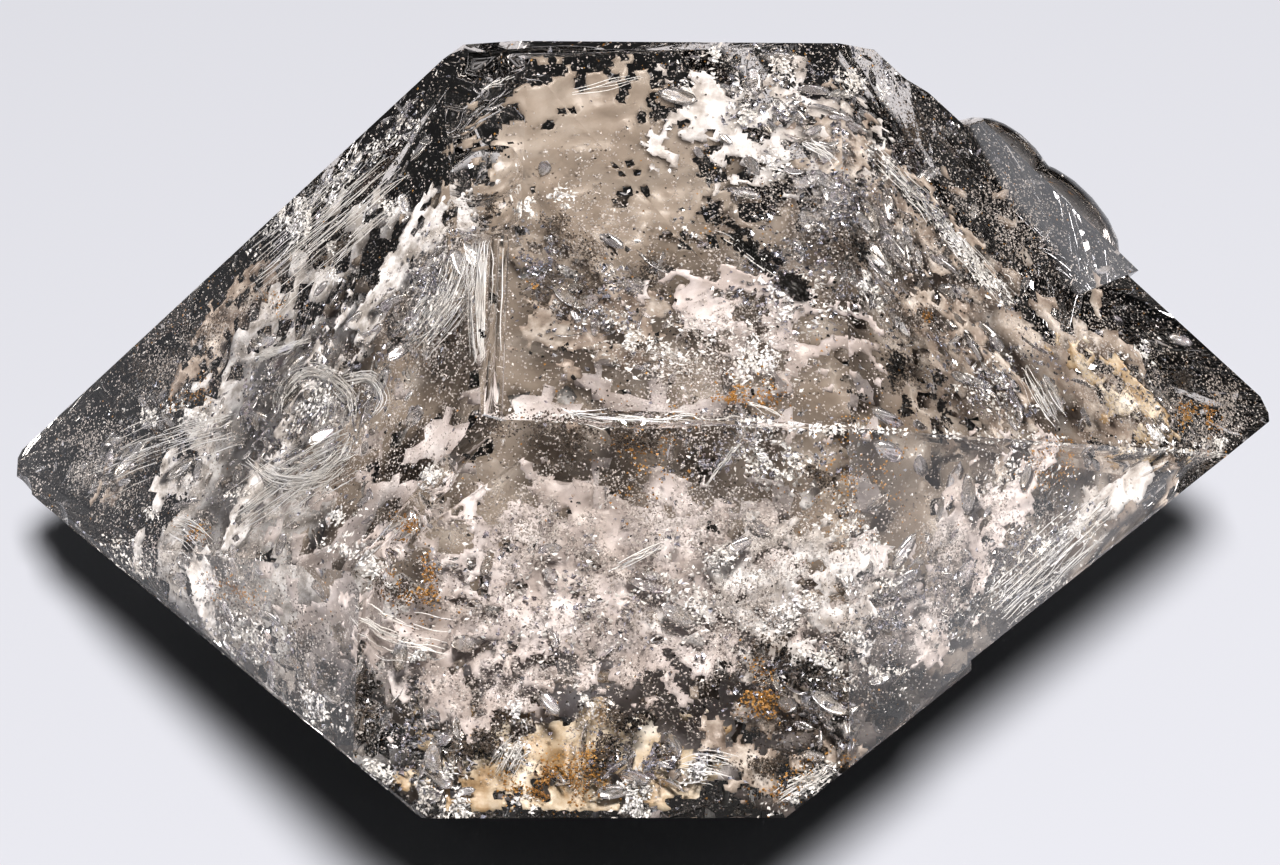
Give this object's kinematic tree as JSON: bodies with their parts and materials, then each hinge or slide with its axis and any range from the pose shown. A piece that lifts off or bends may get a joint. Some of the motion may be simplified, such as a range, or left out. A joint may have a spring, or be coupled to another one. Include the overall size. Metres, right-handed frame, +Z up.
{
  "type": "herkimer diamond quartz crystal",
  "caption": "Doubly terminated smoky quartz crystal, clear and heavily included, lying on one prism face, with chipped corners, growth steps and a raised ledge near one tip.",
  "frame": {"origin": "on the face that the crystal rests on, under the middle of its bounding box", "axes": "+X along the crystal's long axis towards the end with the raised ledge, -Y towards the front, +Z up"},
  "size_m": [0.0496, 0.0338, 0.0287],
  "materials": {
    "clear_smoky_quartz": "clear, pale smoky quartz with natural glossy faces, full of whitish veils, flakes and dark specks"
  },
  "bodies": {
    "root": {"quartz_crystal": "clear_smoky_quartz"}
  },
  "joints": []
}
